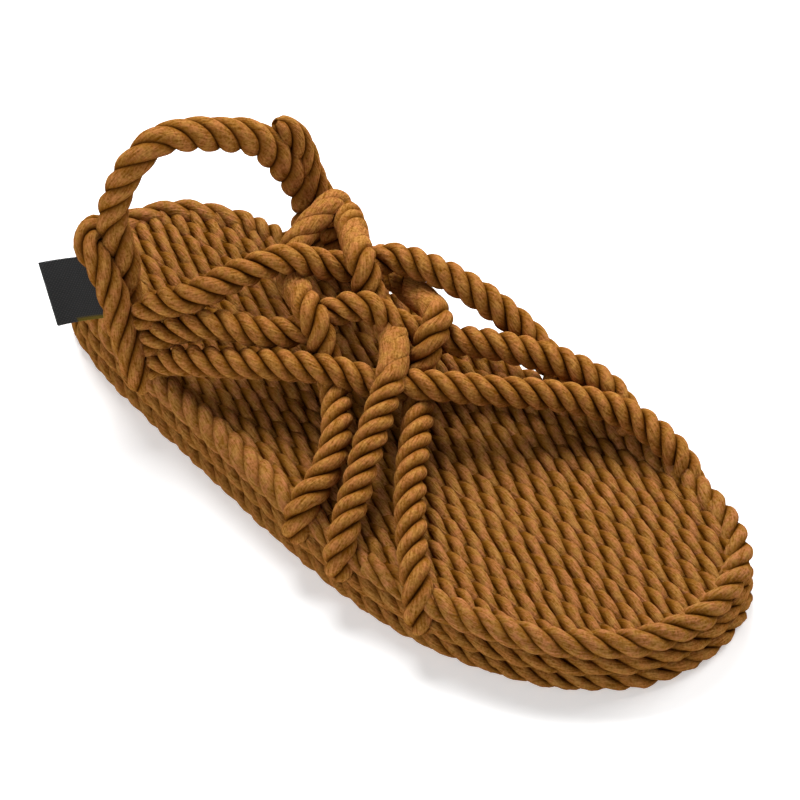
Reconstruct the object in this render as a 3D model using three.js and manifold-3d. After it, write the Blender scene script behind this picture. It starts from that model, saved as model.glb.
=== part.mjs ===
// Rope sandal for the right foot, in millimetres: +X to the toe, +Y to the inner side, +Z up, floor at z = 0.
// Three rope mats lie one on the other as the sole, and ropes tucked into its edge make the woven upper.
import * as THREE from 'three';
import { mergeVertices } from 'three/addons/utils/BufferGeometryUtils.js';
import Module from 'manifold-3d';

const wasm = await Module();
wasm.setup();

// Sole: two plain rope layers under a footbed of rope rows inside a thicker border rope.
const SOLE_LENGTH = 280;
const LAYER_THICK = 8;
const LAYER_GAP = 0.3;
const LAYER_INSET = 0.8;
const BORDER_DIAMETER = 9.9;
const ROW_PITCH = 5.1;
const ROW_DEPTH = 1.7;
const ROW_TOP_BELOW_BORDER = 2.4;
const OUTLINE_POINTS = 60;
const EDGE_STEPS = 3;
const ROW_ARC_STEPS = 4;
const BORDER_SIDES = 10;

// Straps: one size of rope for the weave and the side loops, a thicker one for the heel sling.
const STRAP_DIAMETER = 9.5;
const SLING_DIAMETER = 10.8;
const STRAP_STEP = 6;
const STRAP_HALF_SIDES = 5;
const TUCK_CLEARANCE = 0.35;

// Label: a folded cloth tag held under the outer side loop.
const LABEL_THICK = 1.3;

// Middle of the whole sandal's box, in the sole's own frame where x = 0 is the back of the heel.
const BOX_MIDDLE = { x: 139.87, y: -2.61 };

const FOOTBED_BASE = 2 * LAYER_THICK;
const BORDER_HEIGHT = FOOTBED_BASE + BORDER_DIAMETER / 2;
const ROW_TOP = FOOTBED_BASE + BORDER_DIAMETER - ROW_TOP_BELOW_BORDER;
// Ropes end in pockets of the border at the heel, and reach down past the border at the forefoot.
const HEEL_HALF = 110;
const HEEL_TUCK = BORDER_HEIGHT - 1.5;
const FOREFOOT_TUCK = FOOTBED_BASE + LAYER_GAP;

const COLOURS = { rope: 0x8a5526, footbed: 0x8f5a2b, label: 0x14181c };

/** Turns rows of numbers into records with the given column names. */
function table(columns, rows) {
  return rows.map((row) => Object.fromEntries(columns.map((name, i) => [name, row[i]])));
}

// The last's outline: distance from the back of the heel, and reach to the outer and the inner side.
const OUTLINE = table(['x', 'outer', 'inner'], [
  [5, 16, 17],
  [15, 28, 30],
  [32, 35.6, 39],
  [60, 42, 44],
  [100, 48.6, 45],
  [140, 55, 46],
  [175, 58.3, 48],
  [207, 56.6, 49.6],
  [240, 47, 48.6],
  [261, 33.5, 41.5],
  [274, 17.5, 29.5],
]);
const HEEL_TIP_Y = 1.5;
const TOE_TIP_Y = 6;

// Routes of the ropes' middles. The outer ropes start at the outer heel and cross to the inner forefoot.
const ROUTE_COLUMNS = ['x', 'y', 'z'];
const OUTER_ROPES = {
  rear: table(ROUTE_COLUMNS, [
    [49, -33, 14],
    [52, -33, 32],
    [59, -30, 46],
    [70, -24.5, 53],
    [80, -7, 59],
    [88, 6, 60.5],
    [96, 15, 56],
    [103, 23, 53.5],
    [111, 33, 55],
    [128, 39, 54],
    [145, 43.5, 48.5],
    [160, 47, 39.5],
    [171, 47.5, 28],
    [176, 45, 14],
  ]),
  middle: table(ROUTE_COLUMNS, [
    [56, -35, 14],
    [58, -34.5, 28],
    [65, -31.5, 38],
    [79, -24.5, 46],
    [97, -14.5, 46.5],
    [104, -7, 46.5],
    [111, 5, 52],
    [119, 10.5, 54.5],
    [128, 15, 49],
    [137, 23.5, 42],
    [157, 35, 42],
    [178, 45, 39.5],
    [193, 49.5, 34.5],
    [202, 49.5, 26],
    [205, 46, 14],
  ]),
  front: table(ROUTE_COLUMNS, [
    [62, -37, 14],
    [66, -35.5, 27],
    [77, -33.5, 34],
    [92, -27.5, 38.5],
    [119, -13.5, 43.5],
    [129, -7.5, 41.5],
    [137, -3, 39.5],
    [149, 3, 43],
    [166, 16, 42],
    [187, 35, 37.5],
    [205, 45.5, 33],
    [221, 47.5, 28.5],
    [231, 47, 21],
    [234, 45.5, 14],
  ]),
};
// The inner ropes start at the inner heel and cross to the outer forefoot.
const INNER_ROPES = {
  rear: table(ROUTE_COLUMNS, [
    [75, 40.5, 14],
    [74, 43, 26],
    [73.5, 45.5, 38],
    [74.5, 44.5, 49],
    [78, 35, 55.5],
    [79.5, 24, 55.5],
    [81, 14.5, 53.5],
    [88, 6, 51.5],
    [99, 0, 53],
    [109, -4.5, 53],
    [115, -7, 44.5],
    [119, -8, 36.5],
    [128, -15.5, 36],
    [139, -27.5, 35],
    [145, -40, 31],
    [145, -49, 25.5],
    [143.5, -53, 14],
  ]),
  middle: table(ROUTE_COLUMNS, [
    [84.5, 40.5, 14],
    [83, 43, 26],
    [81, 45.5, 37],
    [80.5, 42.5, 48],
    [89, 35.5, 54.5],
    [100, 26.5, 59],
    [109, 20, 60.5],
    [114, 17.5, 53],
    [120, 16.5, 47],
    [129, 12, 47],
    [137, 4.5, 48],
    [143, -5, 46.5],
    [152, -24.5, 40.5],
    [160, -41.5, 32.5],
    [164, -51, 25.5],
    [165, -55.5, 14],
  ]),
  front: table(ROUTE_COLUMNS, [
    [94, 40.5, 14],
    [93.5, 42.5, 24],
    [94, 43.5, 32],
    [97, 42.5, 38],
    [107, 39, 43],
    [119, 36, 46],
    [130, 32, 48.5],
    [138, 25, 50],
    [141, 17.5, 47.5],
    [142, 12, 40.5],
    [145, 7, 36],
    [157, -7, 36],
    [171, -26, 34],
    [187, -43, 29],
    [197, -51.5, 23.5],
    [201, -55, 14],
  ]),
};
const SLING_ROUTE = table(ROUTE_COLUMNS, [
  [44, -32, 14],
  [43, -29.5, 34],
  [40, -26, 52],
  [35.5, -23.5, 67],
  [35, -20, 78.5],
  [37, -14.5, 89],
  [39.5, -5.5, 93.5],
  [43, 4.5, 91.5],
  [47.5, 16.5, 85.5],
  [51.5, 26, 79],
  [55, 33.5, 69],
  [58.8, 40.8, 53.5],
  [60.8, 44.4, 40.5],
  [60.5, 44, 28],
  [59, 40.5, 14],
]);
// Each side loop climbs along the sling and ends on it.
const SIDE_LOOPS = {
  outer: table(ROUTE_COLUMNS, [
    [62, -40, 14],
    [58.5, -41, 25],
    [51, -38.5, 36],
    [43, -35.5, 48],
    [36.5, -34, 55.5],
    [31, -33, 59],
    [28.5, -29, 60.5],
    [30, -23, 61],
  ]),
  inner: table(ROUTE_COLUMNS, [
    [67.5, 41.5, 14],
    [67.5, 46.5, 28],
    [65, 47, 41],
    [61, 45.1, 54.3],
    [59, 43.9, 64.3],
    [57.3, 41.8, 72],
    [53.4, 37.6, 78.3],
  ]),
};
// Corners of the label's middle plane; its first edge lies inside the outer side loop.
const LABEL_CORNERS = table(ROUTE_COLUMNS, [
  [36.5, -31.5, 56.5],
  [46, -35.5, 36],
  [33, -52, 35.5],
  [22, -48.5, 56.3],
]);

const asVectors = (rows) => rows.map(({ x, y, z = 0 }) => new THREE.Vector3(x, y, z));

/** The outline as a closed curve, counter-clockwise from the back of the heel along the outer side. */
function outlineCurve() {
  const outer = OUTLINE.map(({ x, outer: reach }) => ({ x, y: -reach }));
  const inner = OUTLINE.map(({ x, inner: reach }) => ({ x, y: reach })).reverse();
  const tips = [{ x: 0, y: HEEL_TIP_Y }, { x: SOLE_LENGTH, y: TOE_TIP_Y }];
  return new THREE.CatmullRomCurve3(asVectors([tips[0], ...outer, tips[1], ...inner]), true, 'centripetal');
}

/** Points of the outline, each moved inwards by the inset. */
function outlinePoints(inset) {
  const curve = outlineCurve();
  return Array.from({ length: OUTLINE_POINTS }, (_, i) => {
    const at = i / OUTLINE_POINTS;
    const tangent = curve.getTangentAt(at);
    const inward = new THREE.Vector2(-tangent.y, tangent.x).normalize();
    const point = curve.getPointAt(at);
    return new THREE.Vector2(point.x, point.y).addScaledVector(inward, inset);
  });
}

/** A closed geometry as a solid, turned right side out. */
function solidOf(geometry) {
  const bare = geometry.clone();
  bare.deleteAttribute('normal');
  bare.deleteAttribute('uv');
  const merged = mergeVertices(bare, 1e-4);
  const vertProperties = new Float32Array(merged.attributes.position.array);
  const triVerts = new Uint32Array(merged.index.array);
  const solid = new wasm.Manifold(new wasm.Mesh({ numProp: 3, vertProperties, triVerts }));
  if (solid.volume() > 0) return solid;
  for (let i = 0; i < triVerts.length; i += 3) {
    [triVerts[i], triVerts[i + 1]] = [triVerts[i + 1], triVerts[i]];
  }
  return new wasm.Manifold(new wasm.Mesh({ numProp: 3, vertProperties, triVerts }));
}

/** A solid's surface as a geometry. */
function geometryOf(solid) {
  const { vertProperties, triVerts } = solid.getMesh();
  const geometry = new THREE.BufferGeometry();
  geometry.setAttribute('position', new THREE.BufferAttribute(new Float32Array(vertProperties), 3));
  geometry.setIndex(new THREE.BufferAttribute(new Uint32Array(triVerts), 1));
  return geometry;
}

const unite = (solids) => solids.reduce((whole, solid) => whole.add(solid));

/** An upright plate of the outline, inset all round, between two heights. */
function plate(inset, bottom, top) {
  const geometry = new THREE.ExtrudeGeometry(new THREE.Shape(outlinePoints(inset)), {
    depth: top - bottom, bevelEnabled: false,
  });
  return geometry.translate(0, 0, bottom);
}

/** One rope layer of the sole, its edge rounded like the border rope that runs along it. */
function ropeLayer(bottom) {
  const thick = LAYER_THICK - LAYER_GAP;
  const round = thick * 0.45;
  const geometry = new THREE.ExtrudeGeometry(new THREE.Shape(outlinePoints(LAYER_INSET)), {
    depth: thick - 2 * round,
    bevelThickness: round,
    bevelSize: round,
    bevelOffset: -round,
    bevelSegments: EDGE_STEPS,
  });
  return geometry.translate(0, 0, bottom + round);
}

/** The border rope: a ring of round section that follows the outline. */
function borderRing() {
  const radius = BORDER_DIAMETER / 2;
  const positions = [];
  const triangles = [];
  for (let side = 0; side < BORDER_SIDES; side += 1) {
    const angle = (side / BORDER_SIDES) * 2 * Math.PI;
    const ring = outlinePoints(radius - radius * Math.cos(angle));
    ring.forEach(({ x, y }) => positions.push(x, y, BORDER_HEIGHT + radius * Math.sin(angle)));
    for (let i = 0; i < OUTLINE_POINTS; i += 1) {
      const next = (i + 1) % OUTLINE_POINTS;
      const here = side * OUTLINE_POINTS;
      const above = ((side + 1) % BORDER_SIDES) * OUTLINE_POINTS;
      triangles.push(here + i, here + next, above + next, here + i, above + next, above + i);
    }
  }
  const geometry = new THREE.BufferGeometry();
  geometry.setAttribute('position', new THREE.Float32BufferAttribute(positions, 3));
  geometry.setIndex(triangles);
  return geometry;
}

/** Lengthwise rope rows: one slab with a round ridge for each row, as wide as the sole. */
function rowSlab() {
  const reach = Math.max(...OUTLINE.map(({ outer, inner }) => Math.max(outer, inner)));
  const rows = 2 * Math.ceil(reach / ROW_PITCH);
  const profile = new THREE.Shape();
  const first = -rows * ROW_PITCH / 2;
  profile.moveTo(-first, FOOTBED_BASE);
  for (let step = rows * ROW_ARC_STEPS; step >= 0; step -= 1) {
    const turn = Math.abs(Math.sin((step / ROW_ARC_STEPS) * Math.PI));
    profile.lineTo(first + (step * ROW_PITCH) / ROW_ARC_STEPS, ROW_TOP - ROW_DEPTH * (1 - turn));
  }
  profile.lineTo(first, FOOTBED_BASE);
  const geometry = new THREE.ExtrudeGeometry(profile, { depth: SOLE_LENGTH, bevelEnabled: false });
  return geometry.applyMatrix4(new THREE.Matrix4().makeBasis(
    new THREE.Vector3(0, 1, 0), new THREE.Vector3(0, 0, 1), new THREE.Vector3(1, 0, 0),
  ));
}

/** The footbed mat: the rows, trimmed to run under the border rope, and the border rope itself. */
function footbedMat() {
  const rowField = plate(BORDER_DIAMETER / 2, FOOTBED_BASE, ROW_TOP + 1);
  return solidOf(rowSlab()).intersect(solidOf(rowField)).add(solidOf(borderRing()));
}

/** A rope of round section along a route. */
function rope(route, diameter) {
  const path = new THREE.CatmullRomCurve3(asVectors(route), false, 'centripetal');
  const section = new THREE.Shape().absarc(0, 0, diameter / 2, 0, 2 * Math.PI);
  return new THREE.ExtrudeGeometry(section, {
    extrudePath: path,
    steps: Math.round(path.getLength() / STRAP_STEP),
    curveSegments: STRAP_HALF_SIDES,
    bevelEnabled: false,
  });
}

/** A block that takes away everything below a level, between two distances from the back of the heel. */
function trimBlock(level, from, to) {
  const block = new THREE.BoxGeometry(to - from, SOLE_LENGTH, SOLE_LENGTH);
  return solidOf(block.translate((from + to) / 2, 0, level - SOLE_LENGTH / 2));
}

/** All ropes of the upper joined where they cross, trimmed level where they are tucked into the sole. */
function ropeUpper(swell, drop) {
  const woven = [...Object.values(OUTER_ROPES), ...Object.values(INNER_ROPES), ...Object.values(SIDE_LOOPS)];
  const ropes = woven.map((route) => solidOf(rope(route, STRAP_DIAMETER + 2 * swell)));
  ropes.push(solidOf(rope(SLING_ROUTE, SLING_DIAMETER + 2 * swell)));
  const heel = trimBlock(HEEL_TUCK - drop, 0, HEEL_HALF);
  const forefoot = trimBlock(FOREFOOT_TUCK - drop, HEEL_HALF, SOLE_LENGTH);
  return unite(ropes).subtract(heel).subtract(forefoot);
}

/** The label: a flat tag between four corners, thickened to both sides. */
function labelTag() {
  const corners = asVectors(LABEL_CORNERS);
  const across = corners[1].clone().sub(corners[0]);
  const normal = across.cross(corners[3].clone().sub(corners[0])).normalize();
  const both = [1, -1].flatMap((side) => corners.map(
    (corner) => corner.clone().addScaledVector(normal, (side * LABEL_THICK) / 2),
  ));
  const faces = [0, 1, 2, 0, 2, 3, 4, 6, 5, 4, 7, 6];
  for (let i = 0; i < corners.length; i += 1) {
    const next = (i + 1) % corners.length;
    faces.push(i, i + 4, next + 4, i, next + 4, next);
  }
  const geometry = new THREE.BufferGeometry().setFromPoints(both);
  geometry.setIndex(faces);
  return geometry;
}

function addPiece(group, name, geometry, color, roughness) {
  const material = new THREE.MeshStandardMaterial({ color, roughness, metalness: 0 });
  const mesh = new THREE.Mesh(geometry, material);
  mesh.name = name;
  group.add(mesh);
}

const upper = ropeUpper(0, 0);
const clearance = ropeUpper(TUCK_CLEARANCE, 2 * LAYER_GAP);

const sandal = new THREE.Group();
addPiece(sandal, 'outsole_mat', ropeLayer(0), COLOURS.rope, 0.95);
addPiece(sandal, 'midsole_mat', ropeLayer(LAYER_THICK), COLOURS.rope, 0.95);
addPiece(sandal, 'footbed_mat', geometryOf(footbedMat().subtract(clearance)), COLOURS.footbed, 0.95);
addPiece(sandal, 'rope_upper', geometryOf(upper), COLOURS.rope, 0.92);
addPiece(sandal, 'label', geometryOf(solidOf(labelTag()).subtract(clearance)), COLOURS.label, 0.8);
sandal.position.set(-BOX_MIDDLE.x, -BOX_MIDDLE.y, 0);

export default sandal;
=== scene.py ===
"""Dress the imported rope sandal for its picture.

Every mat, strap, sling and loop is laid from stranded rope along the route of the solid that it stands for.
Lengths are metres. The tables of routes are millimetres in the sole's frame, where x = 0 is the heel's back.
"""

from __future__ import annotations

import logging
import math
from collections.abc import Iterator, Sequence
from contextlib import contextmanager
from dataclasses import dataclass
from enum import Enum

import bpy
import numpy as np
from mathutils import Matrix, Vector


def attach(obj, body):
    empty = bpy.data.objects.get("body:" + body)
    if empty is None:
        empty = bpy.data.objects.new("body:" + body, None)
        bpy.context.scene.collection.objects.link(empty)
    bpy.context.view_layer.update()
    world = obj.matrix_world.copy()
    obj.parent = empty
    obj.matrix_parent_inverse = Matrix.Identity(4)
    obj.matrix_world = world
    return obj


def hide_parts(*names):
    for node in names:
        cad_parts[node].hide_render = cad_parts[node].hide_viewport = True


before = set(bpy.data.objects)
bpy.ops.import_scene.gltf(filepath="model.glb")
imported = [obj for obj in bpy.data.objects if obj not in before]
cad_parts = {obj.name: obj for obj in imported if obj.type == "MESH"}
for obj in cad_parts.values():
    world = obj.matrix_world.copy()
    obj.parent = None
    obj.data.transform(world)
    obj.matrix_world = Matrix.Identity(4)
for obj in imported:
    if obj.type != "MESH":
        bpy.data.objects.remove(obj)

LOG = logging.getLogger("rope_sandal")
BODY = "root"
MM = 0.001
# Distance between the points of a rope's guide, and the points worked out between two knots of its route.
GUIDE_STEP = 1.2 * MM
SPAN_POINTS = 24
# Points on half a strand's section, a quarter of a degree apart.
HALF_SECTION_POINTS = 721
# Turns that a yarn makes round its strand in one lay, which brings the fibres in line with the rope.
YARN_TWIST = 1.5
# Distances within which the turns of a rope, and the two ends of a closed one, grow together.
TURN_MERGE = 0.01 * MM
SEAM_MERGE = 0.05 * MM
# Rubbed rope: its blend as a share of the lay, its radius as a share of the diameter, the flank past which
# a strand keeps its shape, how far before that it starts to, and the least distance from the rope's axis.
FELT_BLEND = 0.35
FELT_RADIUS = 0.48
FELT_FLANK = 1.5
FELT_FLANK_BLEND = 0.4
FELT_LEAST_REACH = 0.1 * MM
ROW_SEED = 11

Row = tuple[float, float, float]
Colour = tuple[float, float, float]

# Driving sizes in the tables' millimetres: the sole's length, the middle of the solids' box, and where the
# tips of heel and toe lie across the sole.
SOLE_LENGTH = 280.0
BOX_MIDDLE = (139.87, -2.61)
HEEL_TIP_Y = 1.5
TOE_TIP_Y = 6.0

# Outline of the last: distance from the heel's back, reach to the outer side, reach to the inner side.
OUTLINE: tuple[Row, ...] = (
    (5, 16, 17),
    (15, 28, 30),
    (32, 35.6, 39),
    (60, 42, 44),
    (100, 48.6, 45),
    (140, 55, 46.6),
    (175, 58.3, 49.2),
    (207, 56.6, 50),
    (240, 47, 48.6),
    (261, 33.5, 41.5),
    (274, 17.5, 29.5),
)

# Straps from the outer heel to the inner forefoot: x, y, z of the rope's middle.
OUTER_STRAPS: dict[str, tuple[Row, ...]] = {
    "outer_strap_rear": (
        (49, -33, 14), (52, -33, 32), (59, -30, 46), (70, -24.5, 53), (80, -7, 59), (88, 6, 60.5),
        (96, 15, 56), (103, 23, 53.5), (111, 33, 55), (128, 39, 54), (145, 43.5, 48.5), (160, 47, 39.5),
        (171, 47.5, 28), (176, 45, 14),
    ),
    "outer_strap_middle": (
        (56, -35, 14), (58, -34.5, 28), (65, -31.5, 38), (79, -24.5, 46), (97, -14.5, 46.5), (104, -7, 46.5),
        (111, 5, 52), (119, 10.5, 54.5), (128, 15, 49), (137, 23.5, 42), (157, 35, 42), (178, 45, 39.5),
        (193, 49.5, 34.5), (202, 49.5, 26), (205, 46, 14),
    ),
    "outer_strap_front": (
        (62, -37, 14), (66, -35.5, 27), (77, -33.5, 34), (92, -27.5, 38.5), (119, -13.5, 43.5),
        (129, -7.5, 41.5), (137, -3, 39.5), (149, 3, 43), (166, 16, 42), (187, 35, 37.5), (205, 45.5, 33),
        (221, 47.5, 28.5), (231, 47, 21), (234, 45.5, 14),
    ),
}

# Straps from the inner heel to the outer forefoot.
INNER_STRAPS: dict[str, tuple[Row, ...]] = {
    "inner_strap_rear": (
        (75, 40.5, 14), (74, 43, 26), (73.5, 45.5, 38), (74.5, 44.5, 49), (78, 35, 55.5), (79.5, 24, 55.5),
        (81, 14.5, 53.5), (88, 6, 51.5), (99, 0, 53), (109, -4.5, 53), (115, -7, 44.5), (119, -8, 36.5),
        (128, -15.5, 36), (139, -27.5, 35), (145, -40, 31), (145.5, -50, 26.5), (145.5, -54.6, 19.5),
        (146, -55, 12.5),
    ),
    "inner_strap_middle": (
        (84.5, 40.5, 14), (83, 43, 26), (81, 45.5, 37), (80.5, 42.5, 48), (89, 35.5, 54.5), (100, 26.5, 59),
        (109, 20, 60.5), (114, 17.5, 53), (120, 16.5, 47), (129, 12, 47), (137, 4.5, 48), (143, -5, 46.5),
        (152, -24.5, 40.5), (160, -41.5, 32.5), (164.5, -52, 26.5), (166.5, -57, 19), (168.5, -57.5, 11.5),
    ),
    "inner_strap_front": (
        (94, 40.5, 14), (93.5, 42.5, 24), (94, 43.5, 32), (97, 42.5, 37.5), (108, 37, 41.5),
        (120.5, 33, 44.5), (131.5, 29.5, 47.5), (139, 24, 49.5), (141, 17.5, 47.5), (142, 12, 40.5),
        (145, 7, 36), (157, -7, 36), (171, -26, 34), (187, -43, 29), (197.5, -52.5, 24), (201.5, -56.2, 17),
        (204, -56.5, 10),
    ),
}

# The heel sling, from the outer to the inner side.
SLING: tuple[Row, ...] = (
    (44, -32, 14), (43, -29.5, 34), (40, -26, 52), (34.6, -24.4, 67), (34.7, -20.5, 78.5),
    (37, -14.5, 88.6), (39.5, -5.5, 93.5), (43, 4.5, 91.5), (47.5, 16.5, 85.5), (51.4, 26, 80),
    (54.6, 33, 71), (58.5, 40.5, 54.5), (60.8, 44.4, 40.5), (60.5, 44, 28), (59, 40.5, 14),
)

# Side loops climb along the sling and end on it.
OUTER_LOOP: tuple[Row, ...] = (
    (62, -40, 14), (58.5, -41, 25), (51, -38.5, 36), (43, -35.5, 48), (36.5, -34, 55.5), (31, -33, 59),
    (28.5, -29, 60.5), (30, -23, 61),
)
INNER_LOOP: tuple[Row, ...] = (
    (67.5, 41.5, 14), (67.5, 46.5, 28), (65, 47, 41), (61, 45.1, 54.3), (59, 43.9, 64.3), (57.2, 41.6, 72.5),
    (53.6, 37.2, 79.8),
)

# Stretches where a rope's twist is loosened: start and end as shares of its length, turns taken out.
# Turns below zero tighten it.
SLACK: dict[str, tuple[Row, ...]] = {
    "heel_sling": ((0.0, 0.25, 0.5), (0.36, 0.6, 0.2), (0.62, 0.79, 0.2), (0.8, 1.0, 0.3)),
    "inner_strap_rear": ((0.17, 0.37, 0.5),),
    "inner_strap_middle": ((0.55, 0.63, 0.2),),
    "inner_strap_front": ((0.2, 0.34, 0.4),),
    "footbed_edge": ((0.82, 0.92, -1.0), (0.92, 1.0, 1 / 3)),
}

# Stretches where a rope's strands are rubbed into one another: start and end as shares of its length,
# how far the furrows close, and how far their painted shade fades.
FELTED: dict[str, tuple[tuple[float, float, float, float], ...]] = {
    "heel_sling": ((0.25, 0.92, 0.35, 0.05),),
    "inner_strap_rear": ((0.17, 0.37, 0.6, 0.6), (0.42, 0.51, 0.7, 0.7)),
    "inner_strap_middle": ((0.26, 0.37, 0.85, 0.85), (0.5, 0.64, 0.85, 0.85)),
    "inner_strap_front": ((0.24, 0.37, 0.85, 0.85),),
    "footbed_edge": ((0.1, 0.27, 0.2, 0.2),),
    "midsole_edge": ((0.06, 0.36, 0.25, 0.25),),
    "outsole_edge": ((0.06, 0.36, 0.25, 0.25),),
}

# Thickness of a rope along its run: share of its length, share of its make's diameter.
THICKNESS: dict[str, tuple[tuple[float, float], ...]] = {
    "heel_sling": ((0.0, 1.0), (0.2, 1.0), (0.3, 0.9), (0.42, 0.9), (0.55, 1.03), (0.72, 1.06), (1.0, 1.0)),
    "inner_strap_rear": ((0.0, 1.0), (0.15, 1.0), (0.2, 0.9), (0.36, 0.9), (0.42, 1.0), (1.0, 1.0)),
}
EVEN_THICKNESS = ((0.0, 1.0), (1.0, 1.0))

# Corners of the label's middle plane; its first edge lies inside the outer side loop.
LABEL_CORNERS: tuple[Row, ...] = ((36.5, -31.5, 56.5), (46, -35.5, 36), (33, -52, 35.5), (22, -48.5, 56.3))


def to_object(rows: Sequence[Row]) -> np.ndarray:
    """Move table rows into the object's frame.

    Args:
        rows: Points in millimetres, in the sole's frame.

    Returns:
        The same points in metres, in the object's frame.
    """
    return (np.array(rows, dtype=float) - (*BOX_MIDDLE, 0.0)) * MM


def pick(*objects: bpy.types.Object) -> None:
    """Select only these objects, the first of them active.

    Args:
        objects: The objects to select.
    """
    bpy.ops.object.select_all(action="DESELECT")
    for item in objects:
        item.select_set(True)
    bpy.context.view_layer.objects.active = objects[0]


@contextmanager
def editing(item: bpy.types.Object) -> Iterator[None]:
    """Open an object in edit mode with all of it selected, and close it again.

    Args:
        item: The mesh object.

    Returns:
        A context in which edit mode's operators act on the object.
    """
    pick(item)
    bpy.ops.object.mode_set(mode="EDIT")
    bpy.ops.mesh.select_all(action="SELECT")
    yield
    bpy.ops.object.mode_set(mode="OBJECT")


def apply_modifier(item: bpy.types.Object, modifier: bpy.types.Modifier) -> None:
    """Apply a modifier to its object's mesh."""
    pick(item)
    bpy.ops.object.modifier_apply(modifier=modifier.name)


def joined(name: str, parts: Sequence[bpy.types.Object]) -> bpy.types.Object:
    """Join parts into one piece.

    Args:
        name: Name of the piece.
        parts: Mesh objects to join.

    Returns:
        The joined object.
    """
    pick(*parts)
    bpy.ops.object.join()
    piece = bpy.context.object
    piece.name = piece.data.name = name
    return piece


def vertex_places(mesh: bpy.types.Mesh) -> np.ndarray:
    """Read the places of a mesh's vertices.

    Args:
        mesh: The mesh.

    Returns:
        A row of x, y, z for each vertex.
    """
    flat = np.empty(len(mesh.vertices) * 3)
    mesh.vertices.foreach_get("co", flat)
    return flat.reshape(-1, 3)


def write_values(mesh: bpy.types.Mesh, name: str, values: np.ndarray) -> None:
    """Store one number for each vertex of a mesh as a named attribute."""
    attribute = mesh.attributes.get(name) or mesh.attributes.new(name, "FLOAT", "POINT")
    attribute.data.foreach_set("value", values.astype(np.float32))


def read_values(mesh: bpy.types.Mesh, name: str) -> np.ndarray:
    """Read a named attribute of a mesh's vertices.

    Args:
        mesh: The mesh.
        name: The attribute's name.

    Returns:
        One number for each vertex.
    """
    values = np.empty(len(mesh.vertices), dtype=np.float32)
    mesh.attributes[name].data.foreach_get("value", values)
    return values


def keep_on_corners(mesh: bpy.types.Mesh, *names: str) -> None:
    """Move vertex attributes to the faces' corners, so that a joined seam doesn't blend their values.

    Args:
        mesh: The mesh.
        names: Names of the attributes.
    """
    corners = np.empty(len(mesh.loops), dtype=np.int32)
    mesh.loops.foreach_get("vertex_index", corners)
    for name in names:
        values = read_values(mesh, name)[corners]
        mesh.attributes.remove(mesh.attributes[name])
        mesh.attributes.new(name, "FLOAT", "CORNER").data.foreach_set("value", values)


def stretch_share(x: np.ndarray, start: float, end: float, blend: float) -> np.ndarray:
    """Tell how far inside a stretch places lie, eased at both of its ends.

    Args:
        x: Places along a line.
        start: Where the stretch starts.
        end: Where it ends.
        blend: Distance from either end at which the share is full.

    Returns:
        A share from 0 to 1 for each place.
    """
    inside = np.clip(np.minimum(x - start, end - x) / blend, 0, 1)
    return inside * inside * (3 - 2 * inside)


def smooth_path(knots: np.ndarray, closed: bool) -> np.ndarray:
    """Run a centripetal curve through knots and space its points evenly.

    Args:
        knots: Points that the curve passes through.
        closed: Whether the curve returns to its first point.

    Returns:
        Points along the curve; a closed one doesn't repeat its first.
    """
    if closed:
        reach = np.concatenate([knots[-1:], knots, knots[:2]])
    else:
        reach = np.concatenate([2 * knots[:1] - knots[1:2], knots, 2 * knots[-1:] - knots[-2:-1]])
    spans = []
    # Each span is blended from four knots, whose times differ by the square root of their distance.
    for p0, p1, p2, p3 in zip(reach, reach[1:], reach[2:], reach[3:]):
        t1, t2, t3 = np.cumsum([math.sqrt(np.linalg.norm(b - a)) for a, b in ((p0, p1), (p1, p2), (p2, p3))])
        t = np.linspace(t1, t2, SPAN_POINTS, endpoint=False)[:, None]
        a1 = ((t1 - t) * p0 + t * p1) / t1
        a2 = ((t2 - t) * p1 + (t - t1) * p2) / (t2 - t1)
        a3 = ((t3 - t) * p2 + (t - t2) * p3) / (t3 - t2)
        b1 = ((t2 - t) * a1 + t * a2) / t2
        b2 = ((t3 - t) * a2 + (t - t1) * a3) / (t3 - t1)
        spans.append(((t2 - t) * b1 + (t - t1) * b2) / (t2 - t1))
    path = np.concatenate([*spans, knots[:1] if closed else knots[-1:]])
    run = np.concatenate([[0], np.cumsum(np.linalg.norm(np.diff(path, axis=0), axis=1))])
    stops = np.linspace(0, run[-1], round(run[-1] / GUIDE_STEP) + 1)
    even = np.stack([np.interp(stops, run, path[:, axis]) for axis in range(3)], axis=1)
    return even[:-1] if closed else even


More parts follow.
